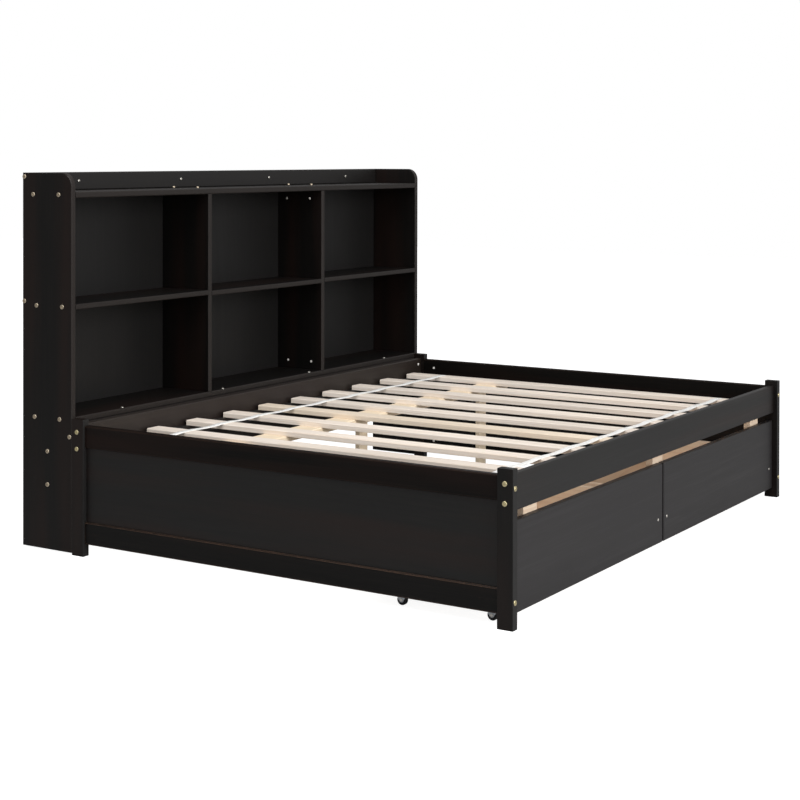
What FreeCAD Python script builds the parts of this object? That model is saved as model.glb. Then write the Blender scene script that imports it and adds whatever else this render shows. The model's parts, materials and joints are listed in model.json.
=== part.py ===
"""Bookcase bed: full size frame, two rolling drawers on one long side and an
open bookcase along the other.

Millimetres, +Z up. The origin is on the floor, at the centre of the plan.
X runs along the bed, the drawers pull out towards -Y, the bookcase is at +Y.
Each piece is one STEP file in parts/, and like fasteners share a file.
"""
import math
import os

import FreeCAD
import Part
from FreeCAD import Vector

# Overall sizes
LENGTH = 1980.0
BED_DEPTH = 1436.0
CASE_DEPTH = 195.0
CASE_HEIGHT = 1112.0

# Posts and side frames at the two ends
POST_WIDTH = 25.0
POST_DEPTH = 44.0
POST_HEIGHT = 397.0
POST_EDGE = 0.8
END_RAIL_SETBACK = 8.0
END_RAIL_THICKNESS = 22.0
END_TOP_RAIL_Z = (315.0, 379.0)
END_BOTTOM_RAIL_Z = (35.0, 99.5)
END_PANEL_THICKNESS = 8.0
PANEL_TONGUE = 6.0

# Long rails and what lies on them
RAIL_THICKNESS = 20.0
FRONT_RAIL_Z = (288.0, 380.0)
REAR_RAIL_Z = (290.0, 382.0)
FRONT_RAIL_SETBACK = 13.0
REAR_RAIL_GAP = 9.0
LEDGER_WIDTH = 25.0
LEDGER_HEIGHT = 30.0
SLAT_TOP_Z = 334.5
SLAT_THICKNESS = 16.0
SLAT_WIDTH = 57.0
SLAT_LENGTH = 1347.0
SLAT_COUNT = 10
SLAT_PITCH = 192.0
FIRST_SLAT_SHIFT = -49.0
FIRST_SLAT_SKEW = -1.0
STRAP_WIDTH = 23.0
STRAP_END_MARGIN = 12.0
STRAP_THICKNESS = 1.2
STRAP_FROM_FRONT = 176.0
STRAP_FROM_REAR = 178.0

# Support under the slats
PLANK_WIDTH = 84.0
PLANK_THICKNESS = 18.0
PLANK_LENGTH = 1860.0
PLANK_FROM_FRONT = 1053.0
LEG_SPACING = 820.0
LEG_WIDTH = 51.0
LEG_THICKNESS = 18.0
LEG_FROM_FRONT = 1066.0
BLOCK_SPACING = 829.0
BLOCK_WIDTH = 76.0
BLOCK_DEPTH = 21.0
BLOCK_HEIGHT = 40.5
BLOCK_CLEARANCE = 0.5

# Bookcase
BOARD = 18.0
MID_SHELF_THICKNESS = 16.0
BACK_THICKNESS = 4.0
CASE_FLOOR_GAP = 6.0
CASE_CORNER_RADIUS = 40.0
TOP_SHELF_TOP_Z = 1057.0
BOTTOM_SHELF_TOP_Z = 400.0
OUTER_MID_SHELF_TOP_Z = 728.5
CENTRE_MID_SHELF_TOP_Z = 725.5
DIVIDER_FROM_CENTRE = 329.0
APRON_HEIGHT = 55.0
LIP_THICKNESS = 12.0
STRETCHER_Z = (168.0, 323.0)
STRETCHER_FROM_BACK = 100.0

# Drawers
DRAWER_GAP = 12.0
DRAWER_END_GAP = 4.0
DRAWER_FRONT_SETBACK = 16.0
DRAWER_FRONT_THICKNESS = 18.0
DRAWER_FRONT_Z = (31.0, 262.0)
BOX_INSET = 19.0
BOX_EDGE = 1.5
BOX_WALL = 15.0
BOX_DEPTH = 400.0
BOX_TOP_Z = 173.0
BOX_BOTTOM_Z = 35.0
BOX_FLOOR_THICKNESS = 6.0

# Casters
WHEEL_RADIUS = 14.0
WHEEL_WIDTH = 11.0
WHEEL_BORE_RADIUS = 2.55
AXLE_RADIUS = 2.5
AXLE_HEAD_RADIUS = 4.0
AXLE_HEAD_THICKNESS = 1.2
FORK_SHEET = 1.5
FORK_INNER_WIDTH = 13.0
FORK_TOP_LENGTH = 38.0
FORK_FOOT_RADIUS = 6.0
FORK_PLATE_LENGTH = 60.0
FORK_PLATE_WIDTH = 24.0
FORK_PLATE_CORNER = 5.0
WHEEL_FROM_DRAWER_END = 37.0
WHEELS_FROM_FRONT = (89.0, 353.0)

# Fasteners
BOLT_RADIUS = 3.0
FLAT_HEAD = (7.0, 2.5)
TALL_HEAD = (5.0, 6.0)
SCREW_HEAD = (4.5, 2.5)
BOLT_CLEARANCE = 0.2
NUT_RADIUS = 5.0
NUT_CLEARANCE = 0.1
RAIL_NUT_LENGTH = 17.0
END_NUT_LENGTH = 20.0
CASE_NUT_LENGTH = 14.0
LIP_NUT_LENGTH = 10.0
CASE_NUT_INSET = 27.0
DIVIDER_NUT_INSET = 28.5
HEAD_SIDES = 8
SMALL_SIDES = 6
RAIL_BOLT_Z = (310.7, 359.5)
RAIL_NUT_INSET = 18.0
END_BOLT_FROM_SIDE = 12.0
END_BOLT_Z = (68.0, 348.3)
END_NUT_INSET = 46.0
COUNTERBORE_RADIUS = 8.0
COUNTERBORE_DEPTH = 3.5

# Bookcase fasteners: heights, and distances from the bed's front face
TOP_SHELF_BOLTS_Y = (1487.5, 1588.0)
BOTTOM_SHELF_BOLTS_Y = (1483.5, 1582.0)
MID_SHELF_BOLTS_Y = (1474.0, 1574.5)
DIVIDER_TOP_BOLTS_Y = (1489.0, 1588.0)
DIVIDER_BOTTOM_BOLTS_Y = (1482.0, 1582.0)
LIP_BOLT_Z = 1100.0
APRON_BOLT_Z = 343.0
STRETCHER_BOLTS_Z = (195.5, 293.4)
REAR_EDGE_BOLT_Z = 731.0
REAR_EDGE_BOLT_LENGTH = 14.0
FROM_REAR_EDGE = 8.0
SCREW_RADIUS = 2.0
SCREW_SPACING = 503.5
SCREW_COUNT = 4
APRON_SCREW_LENGTH = 32.0
LIP_SCREW_LENGTH = 8.0
LIP_SCREW_Z = 1085.0
DOWEL_RADIUS = 4.0
DOWEL_LENGTH = 36.0
DOWELS_Z = (140.0, 255.0)
EDGE_RADIUS = 2.5

# Places worked out from the sizes above
# The front posts' bolt heads stand out, so the plan's centre is a little in front of
# the middle of the woodwork.
TOTAL_DEPTH = BED_DEPTH + CASE_DEPTH
RIGHT = LENGTH / 2
FRONT = (FLAT_HEAD[1] - TOTAL_DEPTH) / 2
CASE_FRONT = FRONT + BED_DEPTH
BACK = CASE_FRONT + CASE_DEPTH
SHELF_BACK = BACK - BACK_THICKNESS
LIP_FRONT = BACK - LIP_THICKNESS
SLAT_BOTTOM_Z = SLAT_TOP_Z - SLAT_THICKNESS
RAIL_HALF = RIGHT - POST_WIDTH
FRONT_RAIL_Y = (FRONT + FRONT_RAIL_SETBACK, FRONT + FRONT_RAIL_SETBACK + RAIL_THICKNESS)
REAR_RAIL_Y = (CASE_FRONT - REAR_RAIL_GAP - RAIL_THICKNESS, CASE_FRONT - REAR_RAIL_GAP)
END_INNER = RIGHT - END_RAIL_SETBACK - END_RAIL_THICKNESS
CASE_INNER = RIGHT - BOARD

os.makedirs("parts", exist_ok=True)


def box(x, y, z):
    """A plain block between two values on each axis."""
    size = (x[1] - x[0], y[1] - y[0], z[1] - z[0])
    return Part.makeBox(*size, Vector(x[0], y[0], z[0]))


def board(x, y, z, along, radius=EDGE_RADIUS, top_only=False):
    """A block with its long edges, those parallel to one axis, eased."""
    block = box(x, y, z)
    axis = {"x": Vector(1, 0, 0), "y": Vector(0, 1, 0), "z": Vector(0, 0, 1)}[along]
    edges = [e for e in block.Edges if abs(e.tangentAt(0).dot(axis)) > 0.99]
    if top_only:
        edges = [e for e in edges if e.CenterOfMass.z > z[1] - 1]
    return block.makeChamfer(radius, edges)


def rod(start, direction, length, radius):
    """A round bar."""
    return Part.makeCylinder(radius, length, Vector(*start), Vector(*direction))


def polygon(centre, direction, radius, sides):
    """A closed wire with equal sides, square to a direction."""
    axis = Vector(*direction)
    side = Vector(1, 0, 0) if abs(axis.z) > 0.5 else Vector(0, 0, 1)
    other = axis.cross(side)
    corners = []
    for index in range(sides + 1):
        turn = 2 * math.pi * (index % sides) / sides
        corners.append(Vector(*centre) + side * radius * math.cos(turn) + other * radius * math.sin(turn))
    return Part.makePolygon(corners)


def bar(start, direction, length, radius, sides):
    """A small round piece or hole, drawn with a few flat sides to keep it light."""
    section = Part.Face(polygon(start, direction, radius, sides))
    return section.extrude(Vector(*direction) * length)


def point_along(start, direction, distance):
    """The point at a distance from a start point."""
    return tuple(s + d * distance for s, d in zip(start, direction))


def reverse(direction):
    """The opposite direction."""
    return tuple(-d for d in direction)


def mirror_x(shape):
    """The same piece on the other end of the bed."""
    return shape.mirror(Vector(0, 0, 0), Vector(1, 0, 0))


def save(name, shapes):
    """Write one node: a single solid, or a group of separate like solids."""
    group = shapes if isinstance(shapes, list) else [shapes]
    shape = group[0] if len(group) == 1 else Part.makeCompound(group)
    if not shape.isValid():
        raise ValueError(name + " is not a valid shape")
    shape.exportStep("parts/" + name + ".step")


def bolt(face_point, direction, length, head=FLAT_HEAD, radius=BOLT_RADIUS):
    """A bolt or screw whose head rests on a face and whose shank runs inwards.

    head is the head's radius and thickness.
    """
    cap = bar(face_point, reverse(direction), head[1], head[0], HEAD_SIDES)
    shank = bar(face_point, direction, length, radius, SMALL_SIDES)
    return cap.fuse(shank).removeSplitter()


class Joint:
    """One knock-down joint: a bolt through one piece into a barrel nut in the next.

    face is the point under the bolt's head and way the direction of its shank.
    The nut sits across the shank. nut_way points from the nut's blind end to
    the face that the nut was pushed in from.
    """

    def __init__(self, face, way, reach, nut_way, nut_mouth, nut_length, head=FLAT_HEAD):
        self.face = face
        self.way = way
        self.reach = reach
        self.nut_way = nut_way
        centre = point_along(face, way, reach)
        to_mouth = abs(nut_mouth - sum(c * abs(n) for c, n in zip(centre, nut_way)))
        self.mouth = point_along(centre, nut_way, to_mouth)
        self.nut_length = nut_length
        self.head = head

    def bolt(self):
        """The bolt, which ends just past the nut's axis."""
        return bolt(self.face, self.way, self.reach + BOLT_RADIUS, self.head)

    def bolt_hole(self):
        """The drilled way for the shank, with room at its end."""
        length = self.reach + 3 * BOLT_RADIUS
        return bar(self.face, self.way, length, BOLT_RADIUS + BOLT_CLEARANCE, SMALL_SIDES)

    def nut(self):
        """The barrel nut, flush with its mouth. The bolt's thread is sunk in it."""
        return bar(self.mouth, reverse(self.nut_way), self.nut_length, NUT_RADIUS, SMALL_SIDES)

    def nut_hole(self):
        """The blind hole across the bolt's way."""
        radius = NUT_RADIUS + NUT_CLEARANCE
        return bar(self.mouth, reverse(self.nut_way), self.nut_length, radius, SMALL_SIDES)


def rail_joints(rail_y):
    """Bolts through the left posts' outer faces into the end of a long rail."""
    y = sum(rail_y) / 2
    inner_face = rail_y[1] if y < 0 else rail_y[0]
    nut_way = (0, 1, 0) if y < 0 else (0, -1, 0)
    reach = POST_WIDTH + RAIL_NUT_INSET
    return [
        Joint((-RIGHT, y, z), (1, 0, 0), reach, nut_way, inner_face, RAIL_NUT_LENGTH)
        for z in RAIL_BOLT_Z
    ]


def end_joints():
    """Bolts along Y through the left posts into the rails of the left end."""
    x = -RIGHT + END_BOLT_FROM_SIDE
    joints = []
    for z in END_BOLT_Z:
        front_face = (x, FRONT, z)
        rear_face = (x, CASE_FRONT - COUNTERBORE_DEPTH, z)
        rear_reach = POST_DEPTH - COUNTERBORE_DEPTH + END_NUT_INSET
        joints.append(Joint(front_face, (0, 1, 0), POST_DEPTH + END_NUT_INSET,
                            (1, 0, 0), -END_INNER, END_NUT_LENGTH))
        joints.append(Joint(rear_face, (0, -1, 0), rear_reach,
                            (1, 0, 0), -END_INNER, END_NUT_LENGTH))
    return joints


def case_side_joints():
    """Bolts through the bookcase's left side into the boards that meet it."""
    apron_back = CASE_FRONT + BOARD
    stretcher_y = BACK - STRETCHER_FROM_BACK
    # Each row: the bolt's Y and Z, the nut's way, its mouth and its length.
    rows = [
        (BACK - FROM_REAR_EDGE, LIP_BOLT_Z, (0, -1, 0), LIP_FRONT, LIP_NUT_LENGTH),
        (CASE_FRONT + BOARD / 2, APRON_BOLT_Z, (0, 1, 0), apron_back, CASE_NUT_LENGTH),
    ]
    for z in STRETCHER_BOLTS_Z:
        rows.append((stretcher_y, z, (0, -1, 0), stretcher_y - BOARD / 2, CASE_NUT_LENGTH))
    shelves = [
        (TOP_SHELF_TOP_Z, BOARD, TOP_SHELF_BOLTS_Y),
        (BOTTOM_SHELF_TOP_Z, BOARD, BOTTOM_SHELF_BOLTS_Y),
        (OUTER_MID_SHELF_TOP_Z, MID_SHELF_THICKNESS, MID_SHELF_BOLTS_Y),
    ]
    for top, thickness, from_front in shelves:
        for distance in from_front:
            row = (FRONT + distance, top - thickness / 2, (0, 0, -1), top - thickness, CASE_NUT_LENGTH)
            rows.append(row)
    return [
        Joint((-RIGHT, y, z), (1, 0, 0), BOARD + CASE_NUT_INSET, nut_way, mouth, nut_length)
        for y, z, nut_way, mouth, nut_length in rows
    ]


def divider_joints():
    """Bolts through the top and bottom shelves into the left divider."""
    x = -DIVIDER_FROM_CENTRE
    mouth = x + BOARD / 2
    reach = BOARD + DIVIDER_NUT_INSET
    rows = [(y, TOP_SHELF_TOP_Z, (0, 0, -1), TALL_HEAD) for y in DIVIDER_TOP_BOLTS_Y]
    rows += [(y, BOTTOM_SHELF_TOP_Z - BOARD, (0, 0, 1), FLAT_HEAD) for y in DIVIDER_BOTTOM_BOLTS_Y]
    return [
        Joint((x, FRONT + y, z), way, reach, (1, 0, 0), mouth, CASE_NUT_LENGTH, head)
        for y, z, way, head in rows
    ]


def drill(shape, joints, shank=True, nut=True):
    """Cut the bolt ways and the nut holes of some joints out of a board."""
    cutters = []
    for joint in joints:
        if shank:
            cutters.append(joint.bolt_hole())
        if nut:
            cutters.append(joint.nut_hole())
    return shape.cut(cutters)


FRONT_RAIL_JOINTS = rail_joints(FRONT_RAIL_Y)
REAR_RAIL_JOINTS = rail_joints(REAR_RAIL_Y)
END_JOINTS = end_joints()
SIDE_JOINTS = case_side_joints()
DIVIDER_JOINTS = divider_joints()


def left_post(y_range):
    """A corner post with eased edges, drilled for the rails that meet it."""
    post = box((-RIGHT, -RIGHT + POST_WIDTH), y_range, (0, POST_HEIGHT))
    edges = [e for e in post.Edges if max(v.Z for v in e.Vertexes) > 1]
    post = post.makeChamfer(POST_EDGE, edges)
    if y_range[0] > 0:
        counterbores = [
            bar(point_along(j.face, reverse(j.way), COUNTERBORE_DEPTH), j.way,
                COUNTERBORE_DEPTH, COUNTERBORE_RADIUS, HEAD_SIDES)
            for j in END_JOINTS if j.way[1] < 0
        ]
        post = post.cut(counterbores)
        joints = REAR_RAIL_JOINTS + [j for j in END_JOINTS if j.way[1] < 0]
    else:
        joints = FRONT_RAIL_JOINTS + [j for j in END_JOINTS if j.way[1] > 0]
    return drill(post, joints, nut=False)


def dowel_ends():
    """The two dowels between the rear left post and the bookcase's left side."""
    x = -RIGHT + BOARD / 2
    y = CASE_FRONT - DOWEL_LENGTH / 2
    return [bar((x, y, z), (0, 1, 0), DOWEL_LENGTH, DOWEL_RADIUS, SMALL_SIDES) for z in DOWELS_Z]


def make_posts():
    """Four corner posts."""
    front = left_post((FRONT, FRONT + POST_DEPTH))
    rear = left_post((CASE_FRONT - POST_DEPTH, CASE_FRONT)).cut(dowel_ends())
    save("post_front_left", front)
    save("post_front_right", mirror_x(front))
    save("post_rear_left", rear)
    save("post_rear_right", mirror_x(rear))


def make_ends():
    """The panelled frame between the posts at each end of the bed."""
    x = (-END_INNER - END_RAIL_THICKNESS, -END_INNER)
    y = (FRONT + POST_DEPTH, CASE_FRONT - POST_DEPTH)
    middle = -END_INNER - END_RAIL_THICKNESS / 2
    panel_x = (middle - END_PANEL_THICKNESS / 2 - 1, middle + END_PANEL_THICKNESS / 2 - 1)
    panel_z = (END_BOTTOM_RAIL_Z[1] - PANEL_TONGUE, END_TOP_RAIL_Z[0] + PANEL_TONGUE)
    panel = box(panel_x, y, panel_z)
    top = drill(board(x, y, END_TOP_RAIL_Z, "y"), END_JOINTS).cut(panel)
    bottom = drill(board(x, y, END_BOTTOM_RAIL_Z, "y"), END_JOINTS).cut(panel)
    for name, shape in (("top_rail", top), ("panel", panel), ("bottom_rail", bottom)):
        save("left_end_" + name, shape)
        save("right_end_" + name, mirror_x(shape))


def both_ends(joints):
    """Cutters for the joints at both ends of a long board."""
    cutters = []
    for joint in joints:
        for cutter in (joint.bolt_hole(), joint.nut_hole()):
            cutters.append(cutter)
            cutters.append(mirror_x(cutter))
    return cutters


def make_rails():
    """The long rails and the ledgers that carry the slats."""
    rail_x = (-RAIL_HALF, RAIL_HALF)
    save("front_rail", board(rail_x, FRONT_RAIL_Y, FRONT_RAIL_Z, "x").cut(both_ends(FRONT_RAIL_JOINTS)))
    save("rear_rail", board(rail_x, REAR_RAIL_Y, REAR_RAIL_Z, "x").cut(both_ends(REAR_RAIL_JOINTS)))
    ledger_x = (-END_INNER, END_INNER)
    ledger_z = (SLAT_BOTTOM_Z - LEDGER_HEIGHT, SLAT_BOTTOM_Z)
    front_y = (FRONT_RAIL_Y[1], FRONT_RAIL_Y[1] + LEDGER_WIDTH)
    rear_y = (REAR_RAIL_Y[0] - LEDGER_WIDTH, REAR_RAIL_Y[0])
    save("front_ledger", board(ledger_x, front_y, ledger_z, "x"))
    save("rear_ledger", board(ledger_x, rear_y, ledger_z, "x"))


def make_slats():
    """Ten slats, each a solid of its own, and the two straps stapled across them."""
    middle = (FRONT_RAIL_Y[1] + REAR_RAIL_Y[0]) / 2
    y = (middle - SLAT_LENGTH / 2, middle + SLAT_LENGTH / 2)
    centres = [(index - (SLAT_COUNT - 1) / 2) * SLAT_PITCH for index in range(SLAT_COUNT)]
    centres[0] += FIRST_SLAT_SHIFT
    slats = []
    for centre in centres:
        x = (centre - SLAT_WIDTH / 2, centre + SLAT_WIDTH / 2)
        slats.append(board(x, y, (SLAT_BOTTOM_Z, SLAT_TOP_Z), "y", top_only=True))
    # The slat at the left end lies a little askew.
    slats[0].rotate(Vector(centres[0], middle, 0), Vector(0, 0, 1), FIRST_SLAT_SKEW)
    save("slats", slats)
    reach = SLAT_WIDTH / 2 - STRAP_END_MARGIN
    strap_x = (centres[0] - reach, centres[-1] + reach)
    strap_z = (SLAT_TOP_Z, SLAT_TOP_Z + STRAP_THICKNESS)
    places = {
        "strap_front": FRONT + STRAP_FROM_FRONT,
        "strap_rear": CASE_FRONT - STRAP_FROM_REAR,
    }
    for name, centre in places.items():
        y = (centre - STRAP_WIDTH / 2, centre + STRAP_WIDTH / 2)
        save(name, box(strap_x, y, strap_z))


def make_support():
    """The plank under the slats and its three legs."""
    y = (FRONT + PLANK_FROM_FRONT - PLANK_WIDTH / 2, FRONT + PLANK_FROM_FRONT + PLANK_WIDTH / 2)
    x = (-PLANK_LENGTH / 2, PLANK_LENGTH / 2)
    plank_bottom = SLAT_BOTTOM_Z - PLANK_THICKNESS
    save("support_plank", board(x, y, (plank_bottom, SLAT_BOTTOM_Z), "x"))
    leg_y = FRONT + LEG_FROM_FRONT
    leg_span = (leg_y - LEG_THICKNESS / 2, leg_y + LEG_THICKNESS / 2)
    legs = []
    for centre in (-LEG_SPACING, 0.0, LEG_SPACING):
        leg_x = (centre - LEG_WIDTH / 2, centre + LEG_WIDTH / 2)
        legs.append(board(leg_x, leg_span, (0, plank_bottom), "z"))
    save("support_legs", legs)


def make_blocks():
    """The blocks under the front ledger that stop the drawers as they are pushed in."""
    front = FRONT + DRAWER_FRONT_SETBACK + DRAWER_FRONT_THICKNESS + BLOCK_CLEARANCE
    top = SLAT_BOTTOM_Z - LEDGER_HEIGHT
    blocks = []
    for centre in (-BLOCK_SPACING, 0.0, BLOCK_SPACING):
        x = (centre - BLOCK_WIDTH / 2, centre + BLOCK_WIDTH / 2)
        blocks.append(box(x, (front, front + BLOCK_DEPTH), (top - BLOCK_HEIGHT, top)))
    save("front_blocks", blocks)


def make_case_sides():
    """The bookcase's side panels, with one large round corner at the top front."""
    panel = box((-RIGHT, -RIGHT + BOARD), (CASE_FRONT, BACK), (CASE_FLOOR_GAP, CASE_HEIGHT))
    corner = [
        e for e in panel.Edges
        if abs(e.tangentAt(0).x) > 0.99 and e.CenterOfMass.y < CASE_FRONT + 1 and e.CenterOfMass.z > 1000
    ]
    panel = panel.makeFillet(CASE_CORNER_RADIUS, corner)
    outline = [
        e for e in panel.Edges
        if abs(e.tangentAt(0).x) < 0.01 and e.CenterOfMass.z > CASE_FLOOR_GAP + 1
    ]
    panel = panel.makeChamfer(EDGE_RADIUS, outline)
    panel = panel.cut(dowel_ends())
    save("case_side_left", panel)
    save("case_side_right", mirror_x(panel))


def shelf(x, top, thickness):
    """A horizontal board with its front edges eased."""
    plate = box(x, (CASE_FRONT, SHELF_BACK), (top - thickness, top))
    front_edges = [
        e for e in plate.Edges
        if abs(e.tangentAt(0).x) > 0.99 and e.CenterOfMass.y < CASE_FRONT + 1
    ]
    return plate.makeChamfer(EDGE_RADIUS, front_edges)


def stud_places():
    """Studs through the left divider that tie the middle shelves on its two sides."""
    z = (OUTER_MID_SHELF_TOP_Z + CENTRE_MID_SHELF_TOP_Z - MID_SHELF_THICKNESS) / 2
    half = BOARD / 2 + CASE_NUT_INSET + BOLT_RADIUS
    start_x = -DIVIDER_FROM_CENTRE - half
    return [((start_x, FRONT + y, z), 2 * half) for y in MID_SHELF_BOLTS_Y]


def stud_shapes():
    """The studs."""
    return [bar(start, (1, 0, 0), length, BOLT_RADIUS, SMALL_SIDES) for start, length in stud_places()]


def stud_nuts():
    """Barrel nuts on the studs: under the centre shelf, on top of the outer one."""
    nuts = []
    for start, length in stud_places():
        outer = (start[0] + BOLT_RADIUS, start[1], OUTER_MID_SHELF_TOP_Z)
        inner_x = start[0] + length - BOLT_RADIUS
        inner = (inner_x, start[1], CENTRE_MID_SHELF_TOP_Z - MID_SHELF_THICKNESS)
        nuts.append(bar(outer, (0, 0, -1), CASE_NUT_LENGTH, NUT_RADIUS, SMALL_SIDES))
        nuts.append(bar(inner, (0, 0, 1), CASE_NUT_LENGTH, NUT_RADIUS, SMALL_SIDES))
    return nuts


def make_case_shelves():
    """The top and bottom shelves, the dividers and the three middle shelves."""
    full = (-CASE_INNER, CASE_INNER)
    save("case_top_shelf", shelf(full, TOP_SHELF_TOP_Z, BOARD))
    save("case_bottom_shelf", shelf(full, BOTTOM_SHELF_TOP_Z, BOARD))
    divider_x = (-DIVIDER_FROM_CENTRE - BOARD / 2, -DIVIDER_FROM_CENTRE + BOARD / 2)
    divider_z = (BOTTOM_SHELF_TOP_Z, TOP_SHELF_TOP_Z - BOARD)
    divider = box(divider_x, (CASE_FRONT, SHELF_BACK), divider_z)
    front_edges = [
        e for e in divider.Edges
        if abs(e.tangentAt(0).z) > 0.99 and e.CenterOfMass.y < CASE_FRONT + 1
    ]
    divider = divider.makeChamfer(EDGE_RADIUS, front_edges)
    save("case_divider_left", divider)
    save("case_divider_right", mirror_x(divider))
    outer = shelf((-CASE_INNER, divider_x[0]), OUTER_MID_SHELF_TOP_Z, MID_SHELF_THICKNESS)
    save("case_mid_shelf_left", outer)
    save("case_mid_shelf_right", mirror_x(outer))
    centre = shelf((divider_x[1], -divider_x[1]), CENTRE_MID_SHELF_TOP_Z, MID_SHELF_THICKNESS)
    save("case_mid_shelf_centre", centre)


def make_case_rails():
    """The lip on the top shelf, the apron under the bottom one, the stretcher, the back."""
    full = (-CASE_INNER, CASE_INNER)
    save("case_lip", board(full, (LIP_FRONT, BACK), (TOP_SHELF_TOP_Z, CASE_HEIGHT), "x"))
    apron_top = BOTTOM_SHELF_TOP_Z - BOARD
    apron_z = (apron_top - APRON_HEIGHT, apron_top)
    save("case_apron", board(full, (CASE_FRONT, CASE_FRONT + BOARD), apron_z, "x"))
    stretcher_y = (BACK - STRETCHER_FROM_BACK - BOARD / 2, BACK - STRETCHER_FROM_BACK + BOARD / 2)
    save("case_stretcher", board(full, stretcher_y, STRETCHER_Z, "x"))
    back_z = (BOTTOM_SHELF_TOP_Z - BOARD, TOP_SHELF_TOP_Z)
    save("case_back", box(full, (SHELF_BACK, BACK), back_z))


def make_fasteners():
    """Bolts, barrel nuts, studs, dowels and screws, each kind in one node."""
    bed_joints = FRONT_RAIL_JOINTS + REAR_RAIL_JOINTS + END_JOINTS
    case_joints = SIDE_JOINTS + DIVIDER_JOINTS
    bed_bolts = [j.bolt() for j in bed_joints]
    case_bolts = [j.bolt() for j in case_joints] + stud_shapes()
    rear_edge_point = (-RIGHT, BACK - FROM_REAR_EDGE, REAR_EDGE_BOLT_Z)
    case_bolts.append(bolt(rear_edge_point, (1, 0, 0), REAR_EDGE_BOLT_LENGTH))
    nuts = [j.nut() for j in bed_joints + case_joints] + stud_nuts()
    dowels = dowel_ends()
    save("post_bolts", bed_bolts + [mirror_x(s) for s in bed_bolts])
    save("case_bolts", case_bolts + [mirror_x(s) for s in case_bolts])
    save("barrel_nuts", nuts + [mirror_x(s) for s in nuts])
    save("case_dowels", dowels + [mirror_x(s) for s in dowels])
    screws = []
    for index in range(SCREW_COUNT):
        x = (index - (SCREW_COUNT - 1) / 2) * SCREW_SPACING
        down = (x, CASE_FRONT + BOARD / 2, BOTTOM_SHELF_TOP_Z)
        back = (x, LIP_FRONT, LIP_SCREW_Z)
        screws.append(bolt(down, (0, 0, -1), APRON_SCREW_LENGTH, SCREW_HEAD, SCREW_RADIUS))
        screws.append(bolt(back, (0, 1, 0), LIP_SCREW_LENGTH, SCREW_HEAD, SCREW_RADIUS))
    save("case_screws", screws)


def fork(centre_x, centre_y):
    """A caster fork: sheet metal folded to two V shaped cheeks under a plate."""
    top_z = BOX_BOTTOM_Z
    plate = box((centre_x - FORK_PLATE_WIDTH / 2, centre_x + FORK_PLATE_WIDTH / 2),
                (centre_y - FORK_PLATE_LENGTH / 2, centre_y + FORK_PLATE_LENGTH / 2),
                (top_z - FORK_SHEET, top_z))
    upright = [e for e in plate.Edges if abs(e.tangentAt(0).z) > 0.99]
    plate = plate.makeChamfer(FORK_PLATE_CORNER, upright)
    half = FORK_TOP_LENGTH / 2
    axle_z = WHEEL_RADIUS
    left = centre_x - FORK_INNER_WIDTH / 2 - FORK_SHEET
    foot = FORK_FOOT_RADIUS
    outline = [
        (-half, top_z - FORK_SHEET),
        (-foot, axle_z - foot / 2),
        (-foot / 2, axle_z - foot),
        (foot / 2, axle_z - foot),
        (foot, axle_z - foot / 2),
        (half, top_z - FORK_SHEET),
    ]
    corners = [Vector(left, centre_y + y, z) for y, z in outline]
    width = FORK_INNER_WIDTH + 2 * FORK_SHEET
    cheeks = Part.Face(Part.makePolygon(corners + corners[:1])).extrude(Vector(width, 0, 0))
    gap_x = (centre_x - FORK_INNER_WIDTH / 2, centre_x + FORK_INNER_WIDTH / 2)
    gap = box(gap_x, (centre_y - half - 1, centre_y + half + 1), (0, top_z - FORK_SHEET))
    cheeks = cheeks.cut(gap)
    hole_radius = AXLE_RADIUS / math.cos(math.pi / SMALL_SIDES)
    hole = bar((left - 1, centre_y, axle_z), (1, 0, 0), width + 2, hole_radius, SMALL_SIDES)
    return plate.fuse(cheeks).removeSplitter().cut(hole)


def axle(centre_x, centre_y):
    """A riveted axle with a head on each side of the fork."""
    half = FORK_INNER_WIDTH / 2 + FORK_SHEET
    pin_start = (centre_x - half, centre_y, WHEEL_RADIUS)
    pin = bar(pin_start, (1, 0, 0), 2 * half, AXLE_RADIUS, HEAD_SIDES)
    for sign in (-1, 1):
        start = (centre_x + sign * half, centre_y, WHEEL_RADIUS)
        head = bar(start, (sign, 0, 0), AXLE_HEAD_THICKNESS, AXLE_HEAD_RADIUS, SMALL_SIDES)
        pin = pin.fuse(head)
    return pin.removeSplitter()


def wheel(centre_x, centre_y):
    """A plain moulded wheel with a bored hub."""
    start = (centre_x - WHEEL_WIDTH / 2, centre_y, WHEEL_RADIUS)
    body = rod(start, (1, 0, 0), WHEEL_WIDTH, WHEEL_RADIUS)
    return body.cut(rod(start, (1, 0, 0), WHEEL_WIDTH, WHEEL_BORE_RADIUS))


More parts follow.
